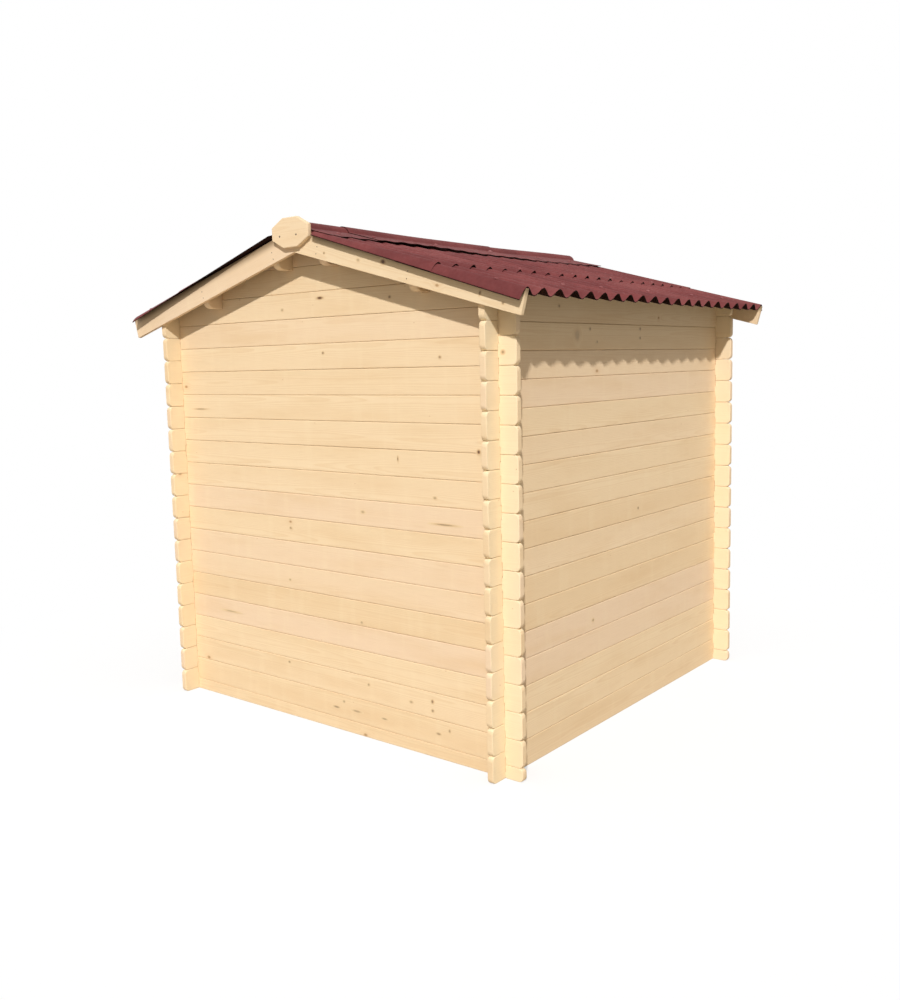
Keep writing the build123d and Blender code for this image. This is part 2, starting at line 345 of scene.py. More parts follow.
def knot_wood(name):
    """A knot: dark core, brown ring and a rim that runs out into the board."""
    g = Graph(name)
    rough = g.noise(g.place(), 210.0, 3.0, 0.6)
    reach = g.plus(g.attribute("ring"), g.times(g.minus(rough, 0.5), 0.35))
    body = g.mix(g.ramp(reach, 0.25, 0.62), KNOT_CORE, KNOT_RING)
    fade = g.times(g.ramp(reach, 1.0, 0.20), g.attribute("strength"))
    g.link(g.mix(fade, KNOT_RIM, body), g.bsdf.inputs["Base Color"])
    g.link(g.ramp(rough, 0.3, 0.7, 0.48, 0.62), g.bsdf.inputs["Roughness"])
    g.bump(rough, 0.0004, 0.6)
    return g.material


def bitumen(name, dark, body, faded, gloss):
    """Corrugated bitumen-fibre sheet: matt and fibrous, with stains and faded patches."""
    g = Graph(name)
    place = g.place()
    fibre = g.noise(place, 420.0, 3.0, 0.7)
    felt = g.noise(place, 60.0, 4.0, 0.65)
    patch = g.noise(place, 6.0, 5.0, 0.62)
    large = g.noise(place, 1.7, 2.0)
    colour = g.mix(g.ramp(patch, 0.36, 0.70), dark, body)
    colour = g.mix(g.ramp(large, 0.46, 0.74, 0.0, 0.50), colour, faded)
    colour = g.mix(g.ramp(felt, 0.45, 0.75, 0.0, 0.35), colour, dark)
    colour = g.mix(g.ramp(fibre, 0.56, 0.80, 0.0, 0.30), colour, faded)
    g.link(colour, g.bsdf.inputs["Base Color"])
    g.link(g.ramp(felt, 0.3, 0.7, 0.66, 0.86), g.bsdf.inputs["Roughness"])
    g.bsdf.inputs["Specular IOR Level"].default_value = gloss
    g.bump(g.plus(g.times(fibre, 0.4), felt), 0.0010, 0.8)
    return g.material


def metal(name, dark, light, dull_spots):
    """Plated steel with a faint spangle and dull spots."""
    g = Graph(name)
    place = g.place()
    spangle = g.noise(place, 150.0, 3.0, 0.6)
    dull = g.noise(place, 22.0, 4.0)
    colour = g.mix(g.ramp(spangle, 0.35, 0.70), dark, light)
    colour = g.mix(g.ramp(dull, 0.55, 0.75, 0.0, 0.5), colour, dull_spots)
    g.link(colour, g.bsdf.inputs["Base Color"])
    g.link(g.ramp(dull, 0.3, 0.7, 0.32, 0.55), g.bsdf.inputs["Roughness"])
    g.bsdf.inputs["Metallic"].default_value = 1.0
    g.bump(spangle, 0.0002, 0.4)
    return g.material


log_wood = spruce("log_spruce", LOG_PALE, tips=0.55)
board_wood = spruce("board_spruce", BOARD_PALE)
# The barge boards carry painted shade on their upper part, under the sheet's overhang.
barge_wood = spruce("barge_spruce", BOARD_PALE, overhang_shade=0.85)
knots_wood = knot_wood("knot_spruce")
sheet_red = bitumen("sheet_red", dark=rgb(0.128, 0.027, 0.027), body=rgb(0.188, 0.042, 0.041),
                    faded=rgb(0.270, 0.084, 0.079), gloss=0.25)
sheet_under = bitumen("sheet_underside", dark=rgb(0.012, 0.004, 0.003), body=rgb(0.022, 0.007, 0.005),
                      faded=rgb(0.040, 0.016, 0.012), gloss=0.05)
nail_red = bitumen("nail_red", dark=rgb(0.20, 0.055, 0.055), body=rgb(0.30, 0.10, 0.10),
                   faded=rgb(0.46, 0.24, 0.23), gloss=0.30)
steel = metal("zinc_steel", dark=rgb(0.44, 0.45, 0.45), light=rgb(0.63, 0.63, 0.61),
              dull_spots=rgb(0.36, 0.35, 0.33))
dull_steel = metal("dull_steel", dark=rgb(0.10, 0.07, 0.05), light=rgb(0.20, 0.15, 0.11),
                   dull_spots=rgb(0.08, 0.045, 0.03))


# Pieces

def piece(name, bm, materials, nodes=()):
    """Object on the root body from a finished mesh, in place of the CAD nodes that it stands for."""
    mesh = bpy.data.meshes.new(name)
    bm.to_mesh(mesh)
    bm.free()
    for material in materials:
        mesh.materials.append(material)
    obj = bpy.data.objects.new(name, mesh)
    bpy.context.scene.collection.objects.link(obj)
    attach(obj, "root")
    if nodes:
        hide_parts(*nodes)


def soften(bm, angle, flat_area=1.0):
    """Smooth shading, broken at edges sharper than an angle and around flat faces larger than an area."""
    for face in bm.faces:
        face.smooth = True
    for edge in bm.edges:
        faces = edge.link_faces
        large = any(face.calc_area() > flat_area for face in faces)
        edge.smooth = len(faces) == 2 and not large and edge.calc_face_angle(0.0) < math.radians(angle)


def rounded(points, segments=5):
    """Outline from (u, v, radius) corners, with an arc at each corner that has a radius."""
    most = 0.49
    out = []
    for i, (u, v, radius) in enumerate(points):
        here = Vector((u, v))
        if radius <= 0:
            out.append(here)
            continue
        a = Vector(points[i - 1][:2]) - here
        b = Vector(points[(i + 1) % len(points)][:2]) - here
        half = a.angle(b) / 2
        reach = min(radius / math.tan(half), a.length * most, b.length * most)
        middle = (a.normalized() + b.normalized()).normalized() * (reach / math.cos(half))
        start = a.normalized() * reach - middle
        turn = start.angle_signed(b.normalized() * reach - middle)
        for k in range(segments + 1):
            out.append(here + middle + Matrix.Rotation(-turn * k / segments, 2) @ start)
    return out


def box(u0, u1, v0, v1, radius=0.0):
    return rounded([(u0, v0, radius), (u1, v0, radius), (u1, v1, radius), (u0, v1, radius)], 3)


class Timber:
    """Logs and boards of one piece: outlines given thickness and eased edges, with grain coordinates."""

    EASE = 0.0034
    SHARP = 0.6
    END_FACING = 0.75

    def __init__(self):
        self.bm = bmesh.new()
        self.grain = self.bm.loops.layers.uv.new("grain")
        self.place = self.bm.loops.layers.uv.new("place")
        self.tone = self.bm.faces.layers.float.new("tone")
        self.ends = self.bm.faces.layers.float.new("end_grain")
        self.edge = self.bm.loops.layers.float.new("edge")

    def add(self, outline, thick, put, ease=EASE, shape=None, lengthwise=False):
        """One board: outline in (u, v), thickness along w, and put takes (u, w, v) to its place.

        The grain runs along u, or along w when lengthwise. shape moves the points before the edges are eased.
        """
        bm = bmesh.new()
        face = bm.faces.new([bm.verts.new((p.x, 0.0, p.y)) for p in outline])
        made = bmesh.ops.extrude_face_region(bm, geom=[face])["geom"]
        far = [part for part in made if isinstance(part, bmesh.types.BMVert)]
        bmesh.ops.translate(bm, verts=far, vec=(0.0, thick, 0.0))
        bmesh.ops.recalc_face_normals(bm, faces=bm.faces)
        if shape:
            for vert in bm.verts:
                vert.co = shape(vert.co)
        if lengthwise:
            eased = [e for e in bm.edges if e.is_convex and e.calc_face_angle(0.0) > self.SHARP]
        else:
            eased = [e for e in bm.edges if abs(e.verts[0].co.y - e.verts[1].co.y) < thick / 2]
        bmesh.ops.bevel(bm, geom=eased, offset=ease, segments=2, profile=0.5, affect="EDGES",
                        clamp_overlap=True)
        bm.normal_update()
        self.take(bm, put, lengthwise)
        bm.free()

    def take(self, bm, put, lengthwise):
        """Copy a board in, with a tone and a stretch of grain of its own."""
        tone = dice.random()
        shift = (dice.uniform(0, 40), dice.uniform(0, 20))
        low = min(v.co.z for v in bm.verts)
        high = max(v.co.z for v in bm.verts)
        copies = {v: self.bm.verts.new(put(v.co)) for v in bm.verts}
        for face in bm.faces:
            made = self.bm.faces.new([copies[v] for v in face.verts])
            along, through, up = face.normal.xyz if not lengthwise else face.normal.yxz
            cut = abs(along) > self.END_FACING
            made[self.tone] = tone
            made[self.ends] = float(cut)
            for old, new in zip(face.loops, made.loops):
                u, w, v = old.vert.co.xyz if not lengthwise else old.vert.co.yxz
                middle = v - (low + high) / 2
                if cut:
                    spot = (w, middle)
                elif abs(up) > abs(through):
                    spot = (u, middle + w)
                else:
                    spot = (u, middle)
                new[self.place].uv = spot
                new[self.grain].uv = (spot[0] + shift[0], spot[1] + shift[1])
                new[self.edge] = v - low

    def finish(self, name, material, slot, *nodes):
        bmesh.ops.recalc_face_normals(self.bm, faces=self.bm.faces)
        soften(self.bm, 35, 0.0008)
        piece(name, self.bm, [material], nodes)


def sloped(c, above, level):
    """Point of a board whose top follows the roof: what lies above a height is tilted about a place in w."""
    if c.z > above:
        return Vector((c.x, c.y, c.z - (c.y - level) * TAN))
    return c.copy()


# Walls

def log_outline(u0, u1, low, high, low_notches, high_notches, radii=(LOG_END_RADIUS, LOG_END_RADIUS)):
    """Log seen from the side: notches where it crosses the other walls, rounded end corners."""
    low += SEAT
    high -= SEAT
    points = [(u0, low, radii[0])]
    for u, deep in low_notches:
        points += [(u - CLEAR, low, 0), (u - CLEAR, low + deep, 0)]
        points += [(u + CLEAR, low + deep, 0), (u + CLEAR, low, 0)]
    points += [(u1, low, radii[1]), (u1, high, radii[1])]
    for u, deep in reversed(high_notches):
        points += [(u + CLEAR, high, 0), (u + CLEAR, high - deep, 0)]
        points += [(u - CLEAR, high - deep, 0), (u - CLEAR, high, 0)]
    return rounded(points + [(u0, high, radii[0])])


def eaves_wall(side, hand):
    """Whole logs, and a top log that the roof plane cuts."""
    wood = Timber()
    for course in range(EAVES_COURSES):
        low = course * COURSE
        out = dice.uniform(-LOG_OFFSET, LOG_OFFSET)

        def put(c):
            return Vector((side * (HALF - THICK + c.y + out), c.x, c.z))

        if course < EAVES_COURSES - 1:
            wood.add(log_outline(-REACH, REACH, low, low + COURSE, CORNERS, CORNERS), THICK, put)
        else:
            top = roof_z(HALF - THICK)
            notches = [(u, top - low - 3 * NOTCH) for u, _ in CORNERS]
            wood.add(log_outline(-REACH, REACH, low, top, CORNERS, notches), THICK, put,
                     shape=lambda c: sloped(c, top - LOG_END_RADIUS, 0.0))
    wood.finish(f"{hand}_wall", log_wood, "wall_logs", f"{hand}_wall_even_logs", f"{hand}_wall_odd_logs")


def whole_gable_logs(doorway):
    """The half log on the ground and the courses under the eaves, in two lengths beside a doorway."""
    cut = DOOR_W / 2 + JAMB_W - JAMB_GROOVE
    yield log_outline(-REACH, REACH, 0.0, COURSE / 2, [], CORNERS)
    for course in range(1, WHOLE_GABLE_COURSES):
        low = (course - 0.5) * COURSE
        high = low + COURSE
        if doorway:
            yield log_outline(-REACH, -cut, low, high, CORNERS[:1], CORNERS[:1], (LOG_END_RADIUS, 0))
            yield log_outline(cut, REACH, low, high, CORNERS[1:], CORNERS[1:], (0, LOG_END_RADIUS))
        else:
            yield log_outline(-REACH, REACH, low, high, CORNERS, CORNERS)


def purlin_seat(row):
    """Inner side, outer side and foot of the notch for a purlin."""
    x, lift = PURLINS[row]
    return x - PURLIN_T / 2 - SEAT, x + PURLIN_T / 2 + SEAT, roof_z(x, lift) - PURLIN_D


def course_edges(course):
    return (course - 0.5) * COURSE + SEAT, (course + 0.5) * COURSE - SEAT


def roof_x(z):
    return (APEX - z) / TAN


def mirrored(half_outline):
    """Outline from its right half, listed from the foot round to the top."""
    return rounded(half_outline + [(-u, v, r) for u, v, r in reversed(half_outline)])


def wedges(inner, low):
    """Log ends between a purlin and the roof, right and left."""
    right = [(inner, low, 0), (roof_x(low), low, 0), (inner, roof_z(inner), 0)]
    yield rounded(right)
    yield rounded([(-u, v, r) for u, v, r in reversed(right)])


def cut_gable_logs():
    """The three courses that the roof planes and the purlins cut."""
    near, far, foot = purlin_seat("lower")
    low, high = course_edges(WHOLE_GABLE_COURSES)
    inside = WALL_MID - CLEAR
    outside = WALL_MID + CLEAR
    yield mirrored([(inside, low, 0), (inside, low + NOTCH, 0), (outside, low + NOTCH, 0), (outside, low, 0),
                    (REACH, low, LOG_END_RADIUS), (REACH, roof_z(REACH), LOG_TIP_RADIUS),
                    (roof_x(high), high, 0),
                    (far, high, 0), (far, foot, 0), (near, foot, 0), (near, high, 0)])
    low, high = course_edges(WHOLE_GABLE_COURSES + 1)
    yield from wedges(far, low)
    inner = near
    near, far, foot = purlin_seat("upper")
    yield mirrored([(inner, low, 0), (inner, roof_z(inner), 0), (roof_x(high), high, 0),
                    (far, high, 0), (far, foot, 0), (near, foot, 0), (near, high, 0)])
    low, high = course_edges(WHOLE_GABLE_COURSES + 2)
    yield from wedges(far, low)
    shoulder = roof_z(near)
    yield rounded([(near, low, 0), (near, shoulder, 0), (0, APEX, 0), (-near, shoulder, 0), (-near, low, 0)])


def gable_wall(side, end, doorway):
    wood = Timber()
    for outline in (*whole_gable_logs(doorway), *cut_gable_logs()):
        out = dice.uniform(-LOG_OFFSET, LOG_OFFSET)
        wood.add(outline, THICK, lambda c: Vector((c.x, side * (HALF - THICK + c.y + out), c.z)))
    wood.finish(f"{end}_wall", log_wood, "wall_logs", f"{end}_wall_even_logs", f"{end}_wall_odd_logs")


for side, hand in SIDES:
    eaves_wall(side, hand)
gable_wall(1, "back", doorway=False)
gable_wall(-1, "front", doorway=True)


# Knots that catch the eye: place along and up, half length, half height, strength
BACK_KNOTS = (
    (-0.043, 1.965, 0.034, 0.011, 1.00),
    (-0.049, 1.725, 0.012, 0.010, 0.70),
    (-0.716, 1.692, 0.012, 0.010, 0.65),
    (-0.474, 1.272, 0.006, 0.018, 0.75),
    (-0.902, 1.317, 0.014, 0.015, 1.00),
    (-0.721, 1.011, 0.095, 0.007, 0.60),
    (0.838, 1.469, 0.080, 0.006, 0.60),
    (0.210, 0.919, 0.014, 0.010, 0.60),
    (-0.260, 1.030, 0.018, 0.010, 0.45),
    (-0.672, 1.119, 0.015, 0.009, 0.50),
    (-1.027, 1.704, 0.013, 0.012, 0.60),
    (0.205, 1.925, 0.013, 0.011, 0.45),
    (-0.455, 1.945, 0.012, 0.011, 0.80),
    (0.230, 0.670, 0.012, 0.009, 0.45),
    (-0.230, 0.530, 0.013, 0.010, 0.45),
    (0.260, 0.265, 0.014, 0.010, 0.55),
    (0.680, 0.455, 0.090, 0.007, 0.40),
    (-0.260, 0.250, 0.012, 0.011, 0.50),
    (-0.100, 0.140, 0.012, 0.010, 0.45),
    (-0.050, 0.105, 0.034, 0.009, 0.60),
    (-0.180, 0.110, 0.045, 0.009, 0.50),
    (-0.350, 0.110, 0.030, 0.008, 0.50),
    (-0.510, 0.220, 0.016, 0.009, 0.45),
    (-0.630, 0.245, 0.012, 0.014, 0.75),
    (-0.630, 0.205, 0.012, 0.011, 0.60),
    (-0.660, 0.110, 0.022, 0.009, 0.60),
    (-0.720, 0.135, 0.010, 0.013, 0.55),
)
LEFT_KNOTS = (
    (0.325, 1.800, 0.014, 0.012, 0.65),
    (0.266, 1.744, 0.012, 0.011, 0.60),
    (-0.129, 1.805, 0.015, 0.013, 0.70),
    (-0.129, 1.763, 0.014, 0.012, 0.65),
    (0.572, 1.891, 0.013, 0.011, 0.60),
    (0.432, 1.772, 0.040, 0.048, 0.34),
    (-0.108, 0.959, 0.014, 0.012, 0.70),
    (0.315, 0.503, 0.013, 0.011, 0.60),
)
BARGE_KNOTS = (
    (0.540, -0.012, 0.022, 0.017, 1.0),
    (1.046, -0.031, 0.009, 0.016, 0.8),
    (0.202, -0.040, 0.009, 0.008, 0.7),
    (1.158, -0.045, 0.010, 0.009, 0.7),
    (0.403, -0.031, 0.014, 0.011, 0.4),
)
KNOT_STEPS = 18
KNOT_LEVELS = (0.0, 0.35, 0.7, 1.0)
KNOT_PROUD = 0.0012
KNOT_FALL = 0.0004
BARGE_KNOT_SINK = 0.0006


def other_knots(count, from_middle):
    """Seeded knots for a wall that the photograph doesn't show, each in the middle part of a log."""
    for _ in range(count):
        along = dice.choice((-1, 1)) * dice.uniform(from_middle, 0.93)
        up = (dice.randrange(1, 15) + 0.5 + dice.uniform(-0.25, 0.25)) * COURSE
        yield along, up, dice.uniform(0.010, 0.018), dice.uniform(0.008, 0.013), dice.uniform(0.4, 0.9)


def knot_rings(bm, knot, put):
    """Points of one knot: its middle, then ring by ring to the rim."""
    along, up, length, height, _ = knot
    for level in KNOT_LEVELS:
        ring = []
        for k in range(KNOT_STEPS if level else 1):
            turn = 2 * math.pi * k / KNOT_STEPS
            across = length * level * math.cos(turn)
            rise = height * level * math.sin(turn)
            ring.append(bm.verts.new(put(along + across, up + rise, KNOT_PROUD - KNOT_FALL * level)))
        yield ring


def knots(name, places, put):
    """Flush knots: fans of rings, a hair proud of the face, put on it by (along, up, out)."""
    bm = bmesh.new()
    ring_layer = bm.loops.layers.float.new("ring")
    strength_layer = bm.faces.layers.float.new("strength")
    for knot in places:
        rings = list(zip(knot_rings(bm, knot, put), KNOT_LEVELS))
        for (inner, low), (outer, high) in zip(rings, rings[1:]):
            for k in range(KNOT_STEPS):
                after = (k + 1) % KNOT_STEPS
                corners = [(inner[k % len(inner)], low), (outer[k], high), (outer[after], high)]
                if len(inner) > 1:
                    corners.append((inner[after], low))
                face = bm.faces.new([vert for vert, _ in corners])
                face[strength_layer] = knot[-1]
                face.smooth = True
                for loop, (_, level) in zip(face.loops, corners):
                    loop[ring_layer] = level
    piece(name, bm, [knots_wood])


knots("back_wall_knots", BACK_KNOTS, lambda a, u, o: Vector((a, HALF + o, u)))
knots("left_wall_knots", LEFT_KNOTS, lambda a, u, o: Vector((-HALF - o, a, u)))
knots("right_wall_knots", other_knots(16, 0.05), lambda a, u, o: Vector((HALF + o, a, u)))
knots("front_wall_knots", other_knots(14, 0.45), lambda a, u, o: Vector((a, -HALF - o, u)))
knots("barge_knots", BARGE_KNOTS, lambda a, u, o: slope_point(-1, a, u, BARGE_OUT + o - BARGE_KNOT_SINK))


# Roof timbers

def purlin(side, hand, row):
    """Upright beam with rounded lower ends and a top that follows the roof."""
    x, lift = PURLINS[row]
    top = roof_z(x, lift)
    foot = top - PURLIN_D
    outline = rounded([(-REACH, foot, PURLIN_END_RADIUS), (REACH, foot, PURLIN_END_RADIUS),
                       (REACH, top, 0), (-REACH, top, 0)], 8)
    wood = Timber()
    wood.add(outline, PURLIN_T, lambda c: Vector((side * (x - PURLIN_T / 2 + c.y), c.x, c.z)),
             shape=lambda c: sloped(c, top - SEAT, PURLIN_T / 2))
    wood.finish(f"{hand}_{row}_beam", board_wood, "trim_wood", f"{hand}_{row}_purlin")


def barge_board(side_x, hand, side_y, end):
    """Board along a verge, mitred at the ridge and cut square at the eave."""
    corner = 0.003
    outline = rounded([(-BARGE_LOW * TAN, BARGE_LOW, 0), (SLOPE, BARGE_LOW, corner),
                       (SLOPE, BARGE_HIGH, corner), (-BARGE_HIGH * TAN, BARGE_HIGH, 0)], 3)
    wood = Timber()
    wood.add(outline, BARGE_OUT - BARGE_IN,
             lambda c: slope_point(side_x, c.x, c.z, side_y * (BARGE_IN + c.y)), BARGE_EASE)
    wood.finish(f"{end}_{hand}_barge", barge_wood, "trim_wood", f"{end}_{hand}_barge_board")


def gable_disc():
    """Eight-sided plate over the mitre of the back barge boards."""
    right = [(DISC_FLAT, -DISC_H), (DISC_W, -DISC_SIDE), (DISC_W, DISC_SIDE), (DISC_FLAT, DISC_H)]
    corners = right + [(-u, v) for u, v in reversed(right)]
    wood = Timber()
    wood.add(rounded([(u / 2, v / 2, DISC_CORNER_RADIUS) for u, v in corners], 3), DISC_T,
             lambda c: Vector((c.x, BARGE_OUT + c.y, APEX + DISC_RISE + c.z)))
    wood.finish("back_gable_plate", board_wood, "trim_wood", "back_gable_disc")


for side, hand in SIDES:
    for row in PURLINS:
        purlin(side, hand, row)
    barge_board(side, hand, 1, "back")
    barge_board(side, hand, -1, "front")
gable_disc()


# Roof covering

# The back verge by slope: overhang past the barge board, then height of the sheet's edge off the roof plane.
# Each is its value at the ridge and its change by metre down the slope.
VERGES = {-1: ((0.028, 0.0), (0.027, -0.033)), 1: ((0.016, 0.022), (0.050, -0.040))}
VERGE_CURVE = 1.8
PAST_DISC = 0.116
PAST_DISC_RUN = 0.010
FRONT_VERGE_SHARE = 0.5

# Sag of the ridge, from its ends to the middle, and where down the slope the waves lie flattened under it
RIDGE_SAG = 0.009
SAG_END_Y = 1.08
SAG_RUN = 0.85
FLAT_END = 0.42
FLAT_RUN = 0.18

# The lower right sheet lies askew at its back corner, and edges ripple
SKEW = 0.040
SKEW_START_Y = 0.6
SKEW_RUN = 0.5
LAP_GAPE = (0.003, 0.008)
VERGE_GAPE = (0.001, 0.001, 0.003)
EAVE_RIPPLE = 0.0014
FULL_RIPPLE = 0.0010
RAGGED = 0.0022


def wave(y):
    return DEPTH * (1 + math.cos(2 * math.pi * (y - CREST_Y) / WAVE)) / 2


def sag(y):
    """How far the ridge hangs below its ends."""
    return RIDGE_SAG * smooth((SAG_END_Y - abs(y)) / SAG_RUN)


def shell(bm, top, bottom):
    """Closed thin shell between two grids of points; the upper faces take the first material."""
    low, high = [[[bm.verts.new(p) for p in line] for line in grid] for grid in (bottom, top)]
    lines = range(len(top) - 1)
    steps = range(len(top[0]) - 1)
    for i in lines:
        for j in steps:
            for layer, index in ((low, 1), (high, 0)):
                quad = (layer[i][j], layer[i + 1][j], layer[i + 1][j + 1], layer[i][j + 1])
                bm.faces.new(quad).material_index = index
    for i in lines:
        for j in (0, -1):
            bm.faces.new((low[i][j], low[i + 1][j], high[i + 1][j], high[i][j])).material_index = 1
    for j in steps:
        for i in (0, -1):
            bm.faces.new((low[i][j], low[i][j + 1], high[i][j + 1], high[i][j])).material_index = 1
    bmesh.ops.recalc_face_normals(bm, faces=bm.faces)
    soften(bm, 50)


def back_verge(side, down, past, lift):
    """Place along the ridge and height of the half wave past the back barge board, clear of the plate."""
    (overhang, widen), (edge, fall) = VERGES[side]
    share = past / (WAVE / 2)
    beyond = (overhang + widen * down) * smooth((down - PAST_DISC) / PAST_DISC_RUN) - SEAT
    top = edge + fall * down - lift - SHEET
    return CREST_Y + share * (BARGE_OUT - CREST_Y + beyond), DEPTH + (top - DEPTH) * share ** VERGE_CURVE


def roof_sheet(side, hand, row, start, end, lift):
    """Row of corrugated sheet; the upper row opens a little at its lower edge, most at some of the crests."""
    upper = row == "upper"
    around = 18 * WAVES
    along = 40 if upper else 16
    width = WAVES * WAVE / 2
    rnd = random.Random(f"{hand} {row}")
    phase = [rnd.uniform(0, 2 * math.pi) for _ in range(3)]
    gape = [rnd.uniform(*LAP_GAPE) for _ in range(WAVES + 1)]
    gape[:3] = VERGE_GAPE
    gape[-3:] = VERGE_GAPE

    def slip(y, t):
        """How far up the slope a point lies, for the skewed sheet."""
        if side < 0 or upper:
            return 0.0
        return SKEW * smooth((y - SKEW_START_Y) / SKEW_RUN) * smooth((t - 0.5) / 0.5)

    def opening(y, t, height):
        if not upper:
            return 0.0
        return gape[round((y + CREST_Y) / WAVE)] * (height / DEPTH) ** 4 * t ** 8

    def ripple(y, t):
        rise = EAVE_RIPPLE * math.sin(5.0 * y + phase[0]) * t + FULL_RIPPLE * math.sin(11.0 * y + phase[1])
        return max(0.0, rise)

    def spot(i, j, up):
        y = width * (2 * i / around - 1)
        t = j / along
        down = start + (end - start) * t
        height = wave(y) * (1 - smooth((FLAT_END - down) / FLAT_RUN) * sag(y) / DEPTH)
        rise = up + opening(y, t, height) + ripple(y, t)
        place = down - slip(y, t)
        if j == along:
            place += RAGGED * math.sin(9.0 * y + phase[2]) - RAGGED
        if y > CREST_Y:
            y, height = back_verge(side, down, y - CREST_Y, lift)
        elif y < -CREST_Y and side < 0:
            y = -CREST_Y + (y + CREST_Y) * FRONT_VERGE_SHARE
        return slope_point(side, place, lift + height + rise, y)

    bm = bmesh.new()
    grids = [[[spot(i, j, up) for j in range(along + 1)] for i in range(around + 1)] for up in (SHEET, 0.0)]
    shell(bm, *grids)
    piece(f"{hand}_{row}_sheets", bm, [sheet_red, sheet_under], (f"{hand}_{row}_roof_sheet",))


CAP_STEPS = 60
WING_STEPS = 6
ROLL_STEPS = 10
CAP_CURL = 0.004
CAP_BULGE = 0.006
BULGE_Y = 0.55
BULGE_RUN = 0.20
CAP_DIP = 0.003
CAP_SWING = 0.004


def cap_section(lift):
    """Half of a ridge cap's section, from the tip of the wing to the crown, as (x, z, share of the wing)."""
    centre = roof_z(0, CAP_LIFT) - ROLL_SINK
    rise = roof_z(0, lift) - centre
    radius = ROLL + lift - CAP_LIFT
    spread = 1 + TAN ** 2
    foot = (TAN * rise + math.sqrt(spread * radius ** 2 - rise ** 2)) / spread
    tip = CAP_REACH * COS + lift * SIN
    start = math.atan2(roof_z(foot, lift) - centre, foot)
    section = []
    for k in range(WING_STEPS):
        x = tip + (foot - tip) * k / WING_STEPS
        section.append((x, roof_z(x, lift), 1 - k / WING_STEPS))
    for k in range(ROLL_STEPS + 1):
        turn = start + (math.pi / 2 - start) * k / ROLL_STEPS
        section.append((radius * math.cos(turn), centre + radius * math.sin(turn), 0.0))
    return section


def ridge_cap(name, centre, lift):
    """Ridge piece; its wings sag a little between the crests and curl up between the nails."""
    rnd = random.Random(name)
    phase = [rnd.uniform(0, 2 * math.pi) for _ in range(4)]

    def spot(x, z, share, y):
        far = x > 0
        curl = CAP_CURL * max(0.0, math.sin(6.5 * y + phase[0 if far else 1]))
        curl += CAP_BULGE * math.exp(-((y - BULGE_Y) / BULGE_RUN) ** 2)
        curl -= CAP_DIP * (1 - wave(y) / DEPTH)
        swing = CAP_SWING * share * math.sin(4.0 * y + phase[2 if far else 3])
        return Vector((x + math.copysign(swing, x), y, z + curl * share ** 2 - sag(y)))

    def grid(level):
        half = cap_section(level)
        section = half + [(-x, z, share) for x, z, share in reversed(half[:-1])]
        places = [centre + CAP_LENGTH * (k / CAP_STEPS - 0.5) for k in range(CAP_STEPS + 1)]
        return [[spot(x, z, share, y) for y in places] for x, z, share in section]

    bm = bmesh.new()
    shell(bm, grid(lift + CAP_T), grid(lift))
    piece(f"{name}_ridge_piece", bm, [sheet_red, sheet_under], (f"{name}_ridge_cap",))


for side, hand in SIDES:
    roof_sheet(side, hand, "lower", LOWER_START, SLOPE, SEAT)
    roof_sheet(side, hand, "upper", UPPER_START, UPPER_END, SEAT + NEST)
ridge_cap("back", END_CAP_Y, CAP_LIFT)
ridge_cap("front", -END_CAP_Y, CAP_LIFT)
ridge_cap("middle", MIDDLE_CAP_Y, MIDDLE_CAP_LIFT)


# Nails and screws

STUD_STEPS = 14
STUD_PROFILE = ((1.0, -0.1), (1.0, 0.25), (0.86, 0.62), (0.5, 0.92))
EAVE_CRESTS = (0, 4, 7, 11, 15, 18)
LAP_CRESTS = (2, 6, 10, 13, 17, 19)
CAP_CRESTS = (1, 3, 7, 11, 15, 18)
EAVE_NAILS = 1.100
LAP_NAILS = 0.745
CAP_NAILS = 0.150
EAVE_STRAY = 0.012
LAP_STRAY = 0.010
DISC_NAILS_X = (0.063, -0.041)
DISC_NAILS_DROP = 0.003
BARGE_NAIL_LIFTS = (-0.022, -0.052)
BARGE_NAIL_SHIFT = 0.004


def studs(name, places, radius, height, material):
    """Domed heads, each turned about its own axis: (point, direction)."""
    bm = bmesh.new()
    turns = [2 * math.pi * k / STUD_STEPS for k in range(STUD_STEPS)]
    for point, direction in places:
        face = direction.normalized().to_track_quat("Z", "Y").to_matrix()
        rings = []
        for wide, up in STUD_PROFILE:
            spots = [(radius * wide * math.cos(t), radius * wide * math.sin(t), height * up) for t in turns]
            rings.append([bm.verts.new(point + face @ Vector(spot)) for spot in spots])
        crown = bm.verts.new(point + face @ Vector((0, 0, height)))
        for k in range(STUD_STEPS):
            after = (k + 1) % STUD_STEPS
            for a, b in zip(rings, rings[1:]):
                bm.faces.new((a[k], a[after], b[after], b[k]))
            bm.faces.new((rings[-1][k], rings[-1][after], crown))
    soften(bm, 50)
    piece(name, bm, [material])


def sheet_nails():
    """Capped nails through the crests: above the eave, through the lap and along the ridge caps."""
    for side, _ in SIDES:
        normal = Vector((side * SIN, 0, COS))
        for crest in EAVE_CRESTS:
            down = EAVE_NAILS + EAVE_STRAY * math.sin(crest * 5)
            yield slope_point(side, down, DEPTH + SHEET, CREST_Y - WAVE * crest), normal
        for crest in LAP_CRESTS:
            down = LAP_NAILS + LAP_STRAY * math.sin(crest * 3)
            yield slope_point(side, down, NEST + DEPTH + SHEET, CREST_Y - WAVE * crest), normal
        for crest in CAP_CRESTS:
            y = CREST_Y - WAVE * crest
            lift = MIDDLE_CAP_LIFT if abs(y - MIDDLE_CAP_Y) < CAP_LENGTH / 2 else CAP_LIFT
            yield slope_point(side, CAP_NAILS, lift + CAP_T, y), normal


def disc_nails():
    for x in DISC_NAILS_X:
        yield Vector((x, BARGE_OUT + DISC_T, APEX - DISC_NAILS_DROP)), Vector((0, 1, 0))


